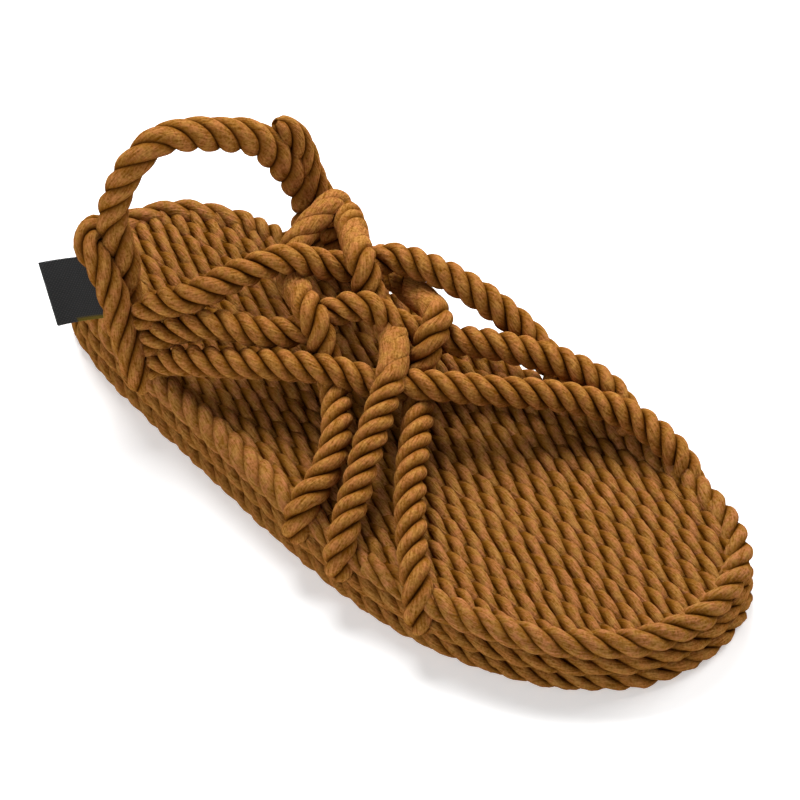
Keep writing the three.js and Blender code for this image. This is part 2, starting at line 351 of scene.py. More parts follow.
class Last:
    """The foot shape that the sole is cut to."""

    def __init__(self) -> None:
        """Work out the outline as an even closed path, outer side first."""
        outer = [(x, -reach, 0) for x, reach, _ in OUTLINE]
        inner = [(x, reach, 0) for x, _, reach in reversed(OUTLINE)]
        knots = to_object([(0, HEEL_TIP_Y, 0), *outer, (SOLE_LENGTH, TOE_TIP_Y, 0), *inner])
        self.edge = smooth_path(knots, closed=True)

    def ring(self, inset: float, height: float) -> np.ndarray:
        """Return the outline moved inwards.

        Args:
            inset: How far in from the edge.
            height: Height of the ring.

        Returns:
            Points of the closed ring.
        """
        ahead = np.roll(self.edge, -1, axis=0) - np.roll(self.edge, 1, axis=0)
        inward = np.stack([-ahead[:, 1], ahead[:, 0]], axis=1)
        inward /= np.linalg.norm(inward, axis=1)[:, None]
        flat = self.edge[:, :2] + inward * inset
        return np.column_stack([flat, np.full(len(flat), height)])

    def span(self, y: float, inset: float, turn: Matrix) -> tuple[float, float] | None:
        """Find where a lengthwise row enters and leaves the inset outline.

        Args:
            y: The row's place across the sole, before it is turned.
            inset: How far in from the edge the row ends.
            turn: How far all rows are turned on the sole.

        Returns:
            The row's two ends along x before it is turned, or nothing where it misses the outline.
        """
        ring = self.ring(inset, 0.0) @ np.array(turn)
        ahead = np.roll(ring, -1, axis=0)
        crossing = (ring[:, 1] - y) * (ahead[:, 1] - y) < 0
        if np.count_nonzero(crossing) < 2:
            return None
        start, end = ring[crossing], ahead[crossing]
        x = start[:, 0] + (y - start[:, 1]) / (end[:, 1] - start[:, 1]) * (end[:, 0] - start[:, 0])
        return float(x.min()), float(x.max())


@dataclass(frozen=True)
class RopeEnd:
    """How a rope's end is rounded: the share of its thickness left at the tip, and the length it takes."""

    size: float
    length: float

    def sizes(self, count: int) -> np.ndarray:
        """Work out a rope's thickness along a guide that both of its ends round.

        Args:
            count: Number of points of the guide.

        Returns:
            A share of the full thickness for each point.
        """
        steps = np.arange(count) * GUIDE_STEP
        to_end = np.minimum(steps, steps[::-1]) / self.length
        return self.size + (1 - self.size) * np.sqrt(1 - (1 - np.clip(to_end, 0, 1)) ** 2)


@dataclass(frozen=True)
class Route:
    """The path of a rope's middle, and the share of its make's thickness at each point."""

    points: np.ndarray
    sizes: np.ndarray
    closed: bool = False

    @classmethod
    def through(cls, name: str, rows: Sequence[Row], end: RopeEnd) -> Route:
        """Make a named rope's open route through the rows of a table.

        Args:
            name: Name of the rope.
            rows: The table.
            end: How its two ends are rounded.

        Returns:
            The route.
        """
        points = smooth_path(to_object(rows), closed=False)
        shares, sizes = np.transpose(THICKNESS.get(name, EVEN_THICKNESS))
        sizes = np.interp(np.linspace(0, 1, len(points)), shares, sizes)
        return cls(points, end.sizes(len(points)) * sizes)

    def length(self) -> float:
        """Return the route's length."""
        loop = np.concatenate([self.points, self.points[:1]]) if self.closed else self.points
        return float(np.linalg.norm(np.diff(loop, axis=0), axis=1).sum())

    def guide(self) -> bpy.types.Object:
        """Draw the route as a curve that a Curve modifier can bend a straight rope along.

        Returns:
            The curve object, with the sizes as its points' radii.
        """
        curve = bpy.data.curves.new("guide", "CURVE")
        curve.dimensions = "3D"
        curve.twist_mode = "Z_UP" if self.closed else "MINIMUM"
        curve.use_stretch = curve.use_deform_bounds = curve.use_radius = True
        spline = curve.splines.new("POLY")
        spline.points.add(len(self.points) - 1)
        spline.points.foreach_set("co", np.column_stack([self.points, np.ones(len(self.points))]).ravel())
        spline.points.foreach_set("radius", self.sizes)
        spline.use_cyclic_u = self.closed
        guide = bpy.data.objects.new("guide", curve)
        bpy.context.collection.objects.link(guide)
        return guide


@dataclass(frozen=True)
class RopeMake:
    """A make of laid rope: its thickness, and the count, size and turn of its strands.

    A strand's depth and width are shares of the rope's radius, and a lump's size is a share of its diameter.
    The lean paints the shade of the furrows more onto one flank of each strand, as light from one side would.
    """

    diameter: float
    lay: float
    strands: int = 3
    strand_depth: float = 0.5
    strand_width: float = 0.58
    sides: int = 14
    steps: int = 24
    lumps: float = 0.7 * MM
    lump_size: float = 0.8
    shade_lean: float = 0.0

    def meeting_angle(self) -> float:
        """Find where a strand's surface meets the next strand's.

        Returns:
            The angle round the strand's middle, from its outermost line.
        """
        turn = np.linspace(0, math.pi, HALF_SECTION_POINTS)
        outward, aside = self.strand_depth * np.cos(turn), self.strand_width * np.sin(turn)
        bearing = np.arctan2(aside, 1 - self.strand_depth + outward)
        first = int(np.argmax(bearing >= math.pi / self.strands))
        return float(np.arctan2(aside[first], outward[first]))


class Ropewalk:
    """Models one turn of a make of rope, and lays lengths of it."""

    def __init__(self, make: RopeMake) -> None:
        """Model the turn that every length repeats."""
        self.make = make
        self.turn = self._model_turn()

    def _model_turn(self) -> bpy.types.Object:
        """Model the strands' sections and screw them once round the rope's axis.

        Returns:
            One turn of rope along +X from the origin.
        """
        radius = self.make.diameter / 2
        hub = radius * (1 - self.make.strand_depth)
        sections = []
        for strand in range(self.make.strands):
            angle = math.tau * strand / self.make.strands
            outward = Vector((0, math.cos(angle), math.sin(angle)))
            aside = Vector((0, -math.sin(angle), math.cos(angle)))
            turn = Matrix((outward, aside, Vector((1, 0, 0)))).transposed().to_euler()
            bpy.ops.mesh.primitive_circle_add(
                vertices=self.make.sides, radius=radius, location=outward * hub, rotation=turn
            )
            section = bpy.context.object
            section.scale = (self.make.strand_depth, self.make.strand_width, 1)
            bpy.ops.object.transform_apply(location=True, rotation=True, scale=True)
            place = vertex_places(section.data) - np.array(outward * hub)
            around = np.arctan2(place @ np.array(aside), place @ np.array(outward))
            write_values(section.data, "around", around / math.tau)
            # The flank is the mask for the painted shade on each strand; the lean paints one side of it
            # darker, as light from one side would.
            side = around / self.make.meeting_angle()
            write_values(section.data, "flank", abs(side + self.make.shade_lean * (1 - side * side)))
            write_values(section.data, "strand", np.full(len(around), strand))
            sections.append(section)
        turn_piece = joined("rope_turn", sections)
        screw = turn_piece.modifiers.new("lay", "SCREW")
        screw.axis = "X"
        screw.angle = math.tau
        screw.screw_offset = self.make.lay
        screw.steps = screw.render_steps = self.make.steps
        apply_modifier(turn_piece, screw)
        return turn_piece

    def straight(self, name: str, length: float, closed: bool = False) -> bpy.types.Object:
        """Lay a straight rope.

        Args:
            name: Name of the rope.
            length: Length along +X from the origin.
            closed: Whether its ends stay open to meet each other.

        Returns:
            The rope as one mesh, with its place along and around the strands stored on its vertices.
        """
        turns = max(1, round(length / self.make.lay))
        rope = self.turn.copy()
        rope.data = self.turn.data.copy()
        rope.name = rope.data.name = name
        bpy.context.collection.objects.link(rope)
        array = rope.modifiers.new("turns", "ARRAY")
        array.count = turns
        array.use_relative_offset = False
        array.use_constant_offset = True
        array.constant_offset_displace = (self.make.lay, 0, 0)
        array.use_merge_vertices = True
        array.merge_threshold = TURN_MERGE
        apply_modifier(rope, array)
        if not closed:
            with editing(rope):
                bpy.ops.mesh.fill_holes(sides=self.make.sides)
                bpy.ops.mesh.normals_make_consistent(inside=False)
        rope.scale.x = length / (turns * self.make.lay)
        pick(rope)
        bpy.ops.object.transform_apply(location=False, rotation=False, scale=True)
        along = vertex_places(rope.data)[:, 0]
        write_values(rope.data, "along", along)
        write_values(rope.data, "spun", read_values(rope.data, "around") + YARN_TWIST * along / self.make.lay)
        return rope

    def along(self, name: str, route: Route) -> bpy.types.Object:
        """Lay a rope and bend it along a route.

        Args:
            name: Name of the rope.
            route: Path of the rope's middle.

        Returns:
            The bent rope.
        """
        rope = self.straight(name, route.length(), route.closed)
        for start, end, turns in SLACK.get(name, ()):
            slacken = rope.modifiers.new("slacken", "SIMPLE_DEFORM")
            slacken.deform_method = "TWIST"
            slacken.deform_axis = "X"
            slacken.limits = (start, end)
            slacken.angle = -math.tau * turns
            apply_modifier(rope, slacken)
        for start, end, amount, shade_fade in FELTED.get(name, ()):
            self.felt(rope, start * route.length(), end * route.length(), amount, shade_fade)
        guide = route.guide()
        bend = rope.modifiers.new("bend", "CURVE")
        bend.object = guide
        bend.deform_axis = "POS_X"
        apply_modifier(rope, bend)
        if route.closed:
            keep_on_corners(rope.data, "flank", "along", "spun", "strand")
            with editing(rope):
                bpy.ops.mesh.remove_doubles(threshold=SEAM_MERGE)
                bpy.ops.mesh.normals_make_consistent(inside=False)
        curve = guide.data
        bpy.data.objects.remove(guide)
        bpy.data.curves.remove(curve)
        self.lump(rope)
        pick(rope)
        bpy.ops.object.shade_smooth()
        return rope

    def felt(self, rope: bpy.types.Object, start: float, end: float, amount: float, shade_fade: float) -> None:
        """Rub the strands of a straight rope into one another, so that their furrows close.

        Args:
            rope: The rope.
            start: Where the rubbed stretch starts along the rope.
            end: Where it ends.
            amount: How far the furrows close, from 0 to 1.
            shade_fade: How far the furrows' painted shade fades, from 0 to 1.
        """
        place = vertex_places(rope.data)
        flank = read_values(rope.data, "flank")
        share = stretch_share(place[:, 0], start, end, min(FELT_BLEND * self.make.lay, (end - start) / 2))
        reach = np.maximum(np.hypot(place[:, 1], place[:, 2]), FELT_LEAST_REACH)
        shown = np.clip((FELT_FLANK - flank) / FELT_FLANK_BLEND, 0, 1)
        swell = (FELT_RADIUS * self.make.diameter / reach - 1) * shown
        place[:, 1:] *= (1 + amount * share * swell)[:, None]
        rope.data.vertices.foreach_set("co", place.ravel())
        # The painted shade of the flanks fades where the furrows close.
        write_values(rope.data, "flank", flank * (1 - shade_fade * share))

    def lump(self, rope: bpy.types.Object) -> None:
        """Make the strands a little uneven, as hand-laid yarn is.

        Args:
            rope: The rope.
        """
        clouds = bpy.data.textures.new("lumps", "CLOUDS")
        clouds.noise_scale = self.make.diameter * self.make.lump_size
        lump = rope.modifiers.new("lumps", "DISPLACE")
        lump.texture = clouds
        lump.texture_coords = "LOCAL"
        lump.strength = self.make.lumps
        apply_modifier(rope, lump)
        bpy.data.textures.remove(clouds)

    def clear_away(self) -> None:
        """Remove the pattern turn once all lengths are laid."""
        mesh = self.turn.data
        bpy.data.objects.remove(self.turn)
        bpy.data.meshes.remove(mesh)


class Slot(Enum):
    """The record's material slots."""

    SOLE = "sole_rope"
    FOOTBED = "footbed_rope"
    STRAP = "strap_rope"
    LABEL = "label_cloth"


class Nodes:
    """A node tree with short calls for adding and linking its nodes."""

    # Sockets of a Mix node that carry colours; they share their names with those that carry numbers.
    MIX_INPUTS = (6, 7)
    MIX_OUTPUT = 2

    def __init__(self, tree: bpy.types.NodeTree) -> None:
        """Take the tree that nodes are added to."""
        self.tree = tree

    def add(self, kind: str, **values: object) -> bpy.types.Node:
        """Add a node and set its properties.

        Args:
            kind: The node's type.
            values: Its properties by name.

        Returns:
            The node.
        """
        node = self.tree.nodes.new(kind)
        for name, value in values.items():
            setattr(node, name, value)
        return node

    def link(self, source: bpy.types.NodeSocket, target: bpy.types.NodeSocket) -> None:
        """Link an output to an input."""
        self.tree.links.new(source, target)

    def math(self, operation: str, *inputs: bpy.types.NodeSocket | float) -> bpy.types.NodeSocket:
        """Add a Math node.

        Args:
            operation: Name of the operation.
            inputs: Sockets or plain numbers.

        Returns:
            The node's output.
        """
        node = self.add("ShaderNodeMath", operation=operation)
        for socket, value in zip(node.inputs, inputs):
            if isinstance(value, bpy.types.NodeSocket):
                self.link(value, socket)
            else:
                socket.default_value = value
        return node.outputs[0]

    def ramp(self, value: bpy.types.NodeSocket, low: float, high: float) -> bpy.types.NodeSocket:
        """Ease a value from 0 to 1.

        Args:
            value: The value.
            low: Where it becomes 0.
            high: Where it becomes 1.

        Returns:
            The eased value.
        """
        node = self.add("ShaderNodeMapRange", interpolation_type="SMOOTHSTEP")
        node.inputs["From Min"].default_value = low
        node.inputs["From Max"].default_value = high
        self.link(value, node.inputs["Value"])
        return node.outputs["Result"]

    def noise(self, vector: bpy.types.NodeSocket, scale: float, detail: float) -> bpy.types.NodeSocket:
        """Add a noise texture.

        Args:
            vector: Where the noise is read.
            scale: Size of its grain, as grains to a unit.
            detail: How many finer grains are laid over it.

        Returns:
            The noise's value.
        """
        node = self.add("ShaderNodeTexNoise")
        node.inputs["Scale"].default_value = scale
        node.inputs["Detail"].default_value = detail
        self.link(vector, node.inputs["Vector"])
        return node.outputs["Fac"]

    def mix(
        self, factor: bpy.types.NodeSocket, *colours: bpy.types.NodeSocket | Colour
    ) -> bpy.types.NodeSocket:
        """Blend two colours by a factor.

        Args:
            factor: How much of the second colour shows.
            colours: Sockets or plain colours.

        Returns:
            The blended colour.
        """
        node = self.add("ShaderNodeMix", data_type="RGBA")
        self.link(factor, node.inputs["Factor"])
        for index, value in zip(self.MIX_INPUTS, colours):
            if isinstance(value, bpy.types.NodeSocket):
                self.link(value, node.inputs[index])
            else:
                node.inputs[index].default_value = (*value, 1)
        return node.outputs[self.MIX_OUTPUT]

    def relief(self, height: bpy.types.NodeSocket, strength: float, depth: float) -> bpy.types.NodeSocket:
        """Turn a height into a bumped normal.

        Args:
            height: The height, from 0 to 1.
            strength: How much of the bump shows.
            depth: How high 1 stands over 0.

        Returns:
            The normal.
        """
        node = self.add("ShaderNodeBump")
        node.inputs["Strength"].default_value = strength
        node.inputs["Distance"].default_value = depth
        self.link(height, node.inputs["Height"])
        return node.outputs["Normal"]


def matte_material(name: str, roughness: float, shine: float) -> tuple[bpy.types.Material, bpy.types.Node]:
    """Make a material that is still without its colour.

    Args:
        name: Name of the material.
        roughness: Its roughness.
        shine: How much it mirrors.

    Returns:
        The material and its shader.
    """
    material = bpy.data.materials.new(name)
    material.use_nodes = True
    shader = material.node_tree.nodes["Principled BSDF"]
    shader.inputs["Roughness"].default_value = roughness
    shader.inputs["Specular IOR Level"].default_value = shine
    return material, shader


@dataclass(frozen=True)
class Fibre:
    """The fibres that every rope finish shares: streaks along the yarns, fuzz and patches of colour.

    Streaks are counted round a strand and along a metre, and each strand reads them from another place.
    A range holds the values between which an output of the group goes from 0 to 1.
    """

    streaks_round: float = 30.0
    streaks_along: float = 240.0
    strand_shift: float = 7.3
    streak_scale: float = 1.0
    streak_detail: float = 3.0
    streak_share: float = 0.55
    fuzz_scale: float = 1100.0
    fuzz_detail: float = 3.0
    fuzz_share: float = 0.45
    patch_scale: float = 320.0
    patch_detail: float = 5.0
    tone_range: tuple[float, float] = (0.25, 0.71)
    patch_range: tuple[float, float] = (0.4, 0.6)
    flank_shade_range: tuple[float, float] = (0.15, 0.9)
    furrow_shade_range: tuple[float, float] = (0.7, 1.05)

    def group(self) -> bpy.types.NodeTree:
        """Build the node group.

        Returns:
            A group that gives the tone of the fibres, patches of colour, the masks for the painted shade on
            the flanks and in the furrows, and the yarns' height.
        """
        tree = bpy.data.node_groups.new("laid_fibre", "ShaderNodeTree")
        for name in ("Tone", "Patch", "Flank Shade", "Furrow Shade", "Height"):
            tree.interface.new_socket(name, in_out="OUTPUT", socket_type="NodeSocketFloat")
        nodes = Nodes(tree)
        outlet = nodes.add("NodeGroupOutput")
        flank, along, spun, strand = (
            nodes.add("ShaderNodeAttribute", attribute_name=name).outputs["Fac"]
            for name in ("flank", "along", "spun", "strand")
        )
        place = nodes.add("ShaderNodeTexCoord").outputs["Object"]
        yarn = nodes.add("ShaderNodeCombineXYZ")
        nodes.link(nodes.math("MULTIPLY", spun, self.streaks_round), yarn.inputs["X"])
        nodes.link(nodes.math("MULTIPLY", along, self.streaks_along), yarn.inputs["Y"])
        nodes.link(nodes.math("MULTIPLY", strand, self.strand_shift), yarn.inputs["Z"])
        streak = nodes.noise(yarn.outputs[0], self.streak_scale, self.streak_detail)
        fuzz = nodes.noise(place, self.fuzz_scale, self.fuzz_detail)
        streaks = nodes.math("MULTIPLY", streak, self.streak_share)
        yarns = nodes.math("ADD", streaks, nodes.math("MULTIPLY", fuzz, self.fuzz_share))
        patch = nodes.noise(place, self.patch_scale, self.patch_detail)
        nodes.link(nodes.ramp(yarns, *self.tone_range), outlet.inputs["Tone"])
        nodes.link(nodes.ramp(patch, *self.patch_range), outlet.inputs["Patch"])
        # Masks of the painted shade: darker towards the flanks of each strand, darkest in the furrows between
        # strands.
        nodes.link(nodes.ramp(flank, *self.flank_shade_range), outlet.inputs["Flank Shade"])
        nodes.link(nodes.ramp(flank, *self.furrow_shade_range), outlet.inputs["Furrow Shade"])
        nodes.link(yarns, outlet.inputs["Height"])
        return tree


@dataclass(frozen=True)
class RopeFinish:
    """A soft matte rope: the colours of its fibres, of the painted shade on its flanks and in its furrows,
    and the depth of its fibres.
    """

    name: str
    light: Colour
    blush: Colour
    shade: Colour
    furrow_shade: Colour
    flank: float = 0.7
    fibre_depth: float = 1.1 * MM
    relief: float = 0.8
    roughness: float = 0.95
    shine: float = 0.0

    def material(self, group: bpy.types.NodeTree) -> bpy.types.Material:
        """Make the finish.

        Args:
            group: The shared fibre group.

        Returns:
            The material.
        """
        material, shader = matte_material(self.name, self.roughness, self.shine)
        nodes = Nodes(material.node_tree)
        fibre = nodes.add("ShaderNodeGroup", node_tree=group)
        lit = nodes.mix(fibre.outputs["Patch"], self.light, self.blush)
        spun = nodes.mix(fibre.outputs["Tone"], self.shade, lit)
        # Painted shade: the strands' flanks are darkened towards the shade colour and the furrows towards the
        # furrow colour, where light reaches less.
        flank = nodes.mix(nodes.math("MULTIPLY", fibre.outputs["Flank Shade"], self.flank), spun, self.shade)
        nodes.link(nodes.mix(fibre.outputs["Furrow Shade"], flank, self.furrow_shade), shader.inputs["Base Color"])
        normal = nodes.relief(fibre.outputs["Height"], self.relief, self.fibre_depth)
        nodes.link(normal, shader.inputs["Normal"])
        return material


@dataclass(frozen=True)
class LabelFinish:
    """A plain woven ribbon: its ground and lit thread colours, and the pitch of its weave."""

    name: str = "woven_ribbon"
    ground: Colour = (0.024, 0.0243, 0.0246)
    thread: Colour = (0.056, 0.0565, 0.0565)
    selvedge: Colour = (0.12, 0.085, 0.008)
    pitch: float = 0.3 * MM
    relief: float = 1.0
    thread_depth: float = 0.1 * MM
    roughness: float = 0.8
    shine: float = 0.15

    def material(self) -> bpy.types.Material:
        """Make the finish.

        Returns:
            The material.
        """
        material, shader = matte_material(self.name, self.roughness, self.shine)
        nodes = Nodes(material.node_tree)
        place = nodes.add("ShaderNodeTexCoord").outputs["Object"]
        threads = []
        for direction in ("X", "Z"):
            wave = nodes.add("ShaderNodeTexWave", wave_type="BANDS", bands_direction=direction)
            wave.inputs["Scale"].default_value = 1 / (self.pitch * math.tau)
            nodes.link(place, wave.inputs["Vector"])
            threads.append(wave.outputs["Fac"])
        weave = nodes.math("MULTIPLY", *threads)
        woven = nodes.mix(weave, self.ground, self.thread)
        selvedge = nodes.add("ShaderNodeAttribute", attribute_name="selvedge").outputs["Fac"]
        nodes.link(nodes.mix(selvedge, woven, self.selvedge), shader.inputs["Base Color"])
        nodes.link(nodes.relief(weave, self.relief, self.thread_depth), shader.inputs["Normal"])
        return material


class Finishes:
    """All finishes of the sandal, made once."""

    def __init__(self) -> None:
        """Make the materials."""
        group = Fibre().group()
        # Each finish's furrow colour, and its shade colour as far as the flank share takes it, is painted
        # shade.
        self.straps = RopeFinish(
            "strap_rope", light=(0.46, 0.218, 0.054), blush=(0.465, 0.187, 0.059),
            shade=(0.138, 0.044, 0.0006), furrow_shade=(0.045, 0.012, 0.0003),
        ).material(group)
        self.sole = RopeFinish(
            "sole_rope", light=(0.405, 0.195, 0.052), blush=(0.405, 0.165, 0.048),
            shade=(0.13, 0.044, 0.0008), furrow_shade=(0.045, 0.012, 0.0003), flank=0.58,
        ).material(group)
        self.footbed = RopeFinish(
            "footbed_rope", light=(0.388, 0.19, 0.053), blush=(0.433, 0.174, 0.068),
            shade=(0.145, 0.051, 0.0008), furrow_shade=(0.08, 0.026, 0.0004), flank=0.58,
        ).material(group)
        self.label = LabelFinish().material()


def dress(piece: bpy.types.Object, material: bpy.types.Material, slot: Slot, *nodes: str) -> bpy.types.Object:
    """Give a piece its finish and its body, and hide the solids that it replaces.

    Args:
        piece: The finished mesh object.
        material: Its material.
        slot: The record's slot; not used.
        nodes: Names of the solids it replaces.

    Returns:
        The piece.
    """
    piece.data.materials.clear()
    piece.data.materials.append(material)
    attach(piece, BODY)
    if nodes:
        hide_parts(*nodes)
    return piece


@dataclass(frozen=True)
class Pressed:
    """A stretch of the outer edge that straps press down and thin; its start and end are the tables' x."""

    start: float = 136
    end: float = 205
    blend: float = 8 * MM
    drop: float = 1.6 * MM
    thinning: float = 0.24

    def share(self, ring: np.ndarray) -> np.ndarray:
        """Work out how much of the pressing each point of a ring takes.

        Args:
            ring: Points of the ring.

        Returns:
            A share from 0 to 1 for each point.
        """
        start, end = ((x - BOX_MIDDLE[0]) * MM for x in (self.start, self.end))
        return np.where(ring[:, 1] < 0, stretch_share(ring[:, 0], start, end, self.blend), 0)


@dataclass
class RopeMat:
    """One layer of the sole: an edge rope, rows of thinner rope inside it, and a core that closes it.

    The insets of rows and core are shares of the edge rope's diameter, and a row's slip is a share of a turn.
    """

    name: str
    slot: Slot
    edge: RopeMake
    edge_height: float
    core_low: float
    core_high: float
    edge_inset: float = 0.0
    pressed: Pressed | None = None
    rows: RopeMake | None = None
    row_height: float = 0.0
    row_pitch: float = 5.5 * MM
    row_turn: float = 0.063
    row_slip: float = 0.14
    row_inset: float = 0.55
    row_reach: float = 70 * MM
    core_inset: float = 0.45
    core_skip: int = 4

    def build(self, last: Last, material: bpy.types.Material) -> list[bpy.types.Object]:
        """Lay the mat's ropes and close it.

        Args:
            last: The foot shape.
            material: The rope's finish.

        Returns:
            The mat's pieces.
        """
        pieces = [dress(self.lay_edge(last), material, self.slot, f"{self.name}_mat")]
        if self.rows:
            pieces.append(dress(self.lay_rows(last), material, self.slot))
        pieces.append(dress(self.model_core(last), material, self.slot))
        return pieces

    def lay_edge(self, last: Last) -> bpy.types.Object:
        """Lay the edge rope round the outline.

        Args:
            last: The foot shape.

        Returns:
            The edge rope.
        """
        walk = Ropewalk(self.edge)
        ring = last.ring(self.edge_inset + self.edge.diameter / 2, self.edge_height)
        sizes = np.ones(len(ring))
        if self.pressed:
            share = self.pressed.share(ring)
            ring[:, 2] -= self.pressed.drop * share
            sizes -= self.pressed.thinning * share
        rope = walk.along(f"{self.name}_edge", Route(ring, sizes, closed=True))
        walk.clear_away()
        return rope

    def lay_rows(self, last: Last) -> bpy.types.Object:
        """Lay straight rows side by side, each ending under the edge rope.

        Args:
            last: The foot shape.

        Returns:
            The rows as one piece.
        """
        walk = Ropewalk(self.rows)
        inset = self.edge_inset + self.edge.diameter * self.row_inset
        count = math.ceil(self.row_reach / self.row_pitch)
        turn = Matrix.Rotation(self.row_turn, 3, "Z")
        chance = np.random.default_rng(ROW_SEED)
        rows = []
        for index in range(-count, count + 1):
            y = (index + 0.5) * self.row_pitch
            slip = chance.uniform(-self.row_slip, self.row_slip)
            span = last.span(y, inset, turn)
            if span is None or span[1] - span[0] < self.rows.lay:
                continue
            row = walk.straight("row", span[1] - span[0])
            row.rotation_euler = (math.tau * (span[0] / self.rows.lay + slip), 0, self.row_turn)
            row.location = turn @ Vector((span[0], y, self.row_height))
            pick(row)
            bpy.ops.object.transform_apply(location=True, rotation=True, scale=True)
            rows.append(row)
        walk.clear_away()
        piece = joined(f"{self.name}_rows", rows)
        walk.lump(piece)
        bpy.ops.object.shade_smooth()
        return piece

    def model_core(self, last: Last) -> bpy.types.Object:
        """Model the plate under the ropes, which closes the gaps between them and shows there in the furrows'
        painted shade.

        Args:
            last: The foot shape.

        Returns:
            The plate.
        """
        inset = self.edge_inset + self.edge.diameter * self.core_inset
        ring = last.ring(inset, self.core_low)[::self.core_skip]
        bpy.ops.mesh.primitive_circle_add(vertices=len(ring), radius=1, fill_type="NGON")
        core = bpy.context.object
        core.name = core.data.name = f"{self.name}_core"
        core.data.vertices.foreach_set("co", ring.ravel())
        with editing(core):
            bpy.ops.mesh.extrude_region_move(
                TRANSFORM_OT_translate={"value": (0, 0, self.core_high - self.core_low)}
            )
            bpy.ops.mesh.select_all(action="SELECT")
            bpy.ops.mesh.normals_make_consistent(inside=False)
        # The plate shows only in the gaps between ropes; a full flank value paints it with the furrows'
        # painted shade.
        write_values(core.data, "flank", np.ones(len(core.data.vertices)))
        return core


@dataclass
class Sole:
    """The three mats of the sole, and the makes of rope that they are laid from."""

    lower_edge: RopeMake = RopeMake(
        diameter=8.2 * MM, lay=25 * MM, steps=26, lumps=1.5 * MM, lump_size=0.6
    )
    middle_edge: RopeMake = RopeMake(
        diameter=8.3 * MM, lay=26.5 * MM, steps=26, lumps=1.5 * MM, lump_size=0.6
    )
    border: RopeMake = RopeMake(diameter=10.2 * MM, lay=25 * MM, lumps=1.0 * MM)
    # The rows' lean paints one flank of each strand darker than the other, as light from one side would.
    row: RopeMake = RopeMake(
        diameter=8.6 * MM, lay=25.8 * MM, strand_depth=0.47, strand_width=0.54, sides=12, steps=16,
        lumps=1.2 * MM, lump_size=0.6, shade_lean=0.4,
    )

    def mats(self) -> tuple[RopeMat, ...]:
        """Return the mats from the ground up."""
        return (
            RopeMat(
                "outsole", Slot.SOLE, self.lower_edge, edge_height=4.5 * MM, edge_inset=-0.4 * MM,
                rows=self.row, row_height=5.3 * MM, row_inset=0.8, core_low=3 * MM, core_high=7.5 * MM,
            ),
            RopeMat(
                "midsole", Slot.SOLE, self.middle_edge, edge_height=12 * MM, edge_inset=-0.1 * MM,
                core_low=8 * MM, core_high=15.5 * MM,
            ),
            RopeMat(
                "footbed", Slot.FOOTBED, self.border, edge_height=20.1 * MM, pressed=Pressed(),
                rows=self.row, row_height=19.4 * MM, core_low=16 * MM, core_high=21.1 * MM,
            ),
        )

    def build(self, finishes: Finishes) -> list[bpy.types.Object]:
        """Lay the mats.

        Args:
            finishes: The sandal's finishes.

        Returns:
            The pieces of all mats.
        """
        last = Last()
        materials = {Slot.SOLE: finishes.sole, Slot.FOOTBED: finishes.footbed}
        return [piece for mat in self.mats() for piece in mat.build(last, materials[mat.slot])]


@dataclass
class WovenUpper:
    """The straps, the heel sling and the side loops."""

    outer_strap: RopeMake = RopeMake(diameter=11 * MM, lay=20 * MM)
    inner_strap: RopeMake = RopeMake(diameter=11 * MM, lay=20.5 * MM)
    sling: RopeMake = RopeMake(diameter=12.2 * MM, lay=25.5 * MM)
    outer_loop: RopeMake = RopeMake(
        diameter=11 * MM, lay=34 * MM, strands=4, strand_depth=0.44, strand_width=0.5
    )
    inner_loop: RopeMake = RopeMake(
        diameter=10.6 * MM, lay=29 * MM, strands=4, strand_depth=0.44, strand_width=0.5
    )
    strap_end: RopeEnd = RopeEnd(size=0.5, length=6 * MM)
    loop_end: RopeEnd = RopeEnd(size=0.3, length=7 * MM)

    def build(self, material: bpy.types.Material) -> list[bpy.types.Object]:
        """Lay every rope of the upper.

        Args:
            material: The rope's finish.

        Returns:
            The ropes; together they stand for the upper's solid.
        """
        pieces = []
        for make, end, routes in (
            (self.outer_strap, self.strap_end, OUTER_STRAPS),
            (self.inner_strap, self.strap_end, INNER_STRAPS),
            (self.sling, self.strap_end, {"heel_sling": SLING}),
            (self.outer_loop, self.loop_end, {"outer_side_loop": OUTER_LOOP}),
            (self.inner_loop, self.loop_end, {"inner_side_loop": INNER_LOOP}),
        ):
            walk = Ropewalk(make)
            for name, rows in routes.items():
                rope = walk.along(name, Route.through(name, rows, end))
                pieces.append(dress(rope, material, Slot.STRAP, "rope_upper"))
            walk.clear_away()
        return pieces


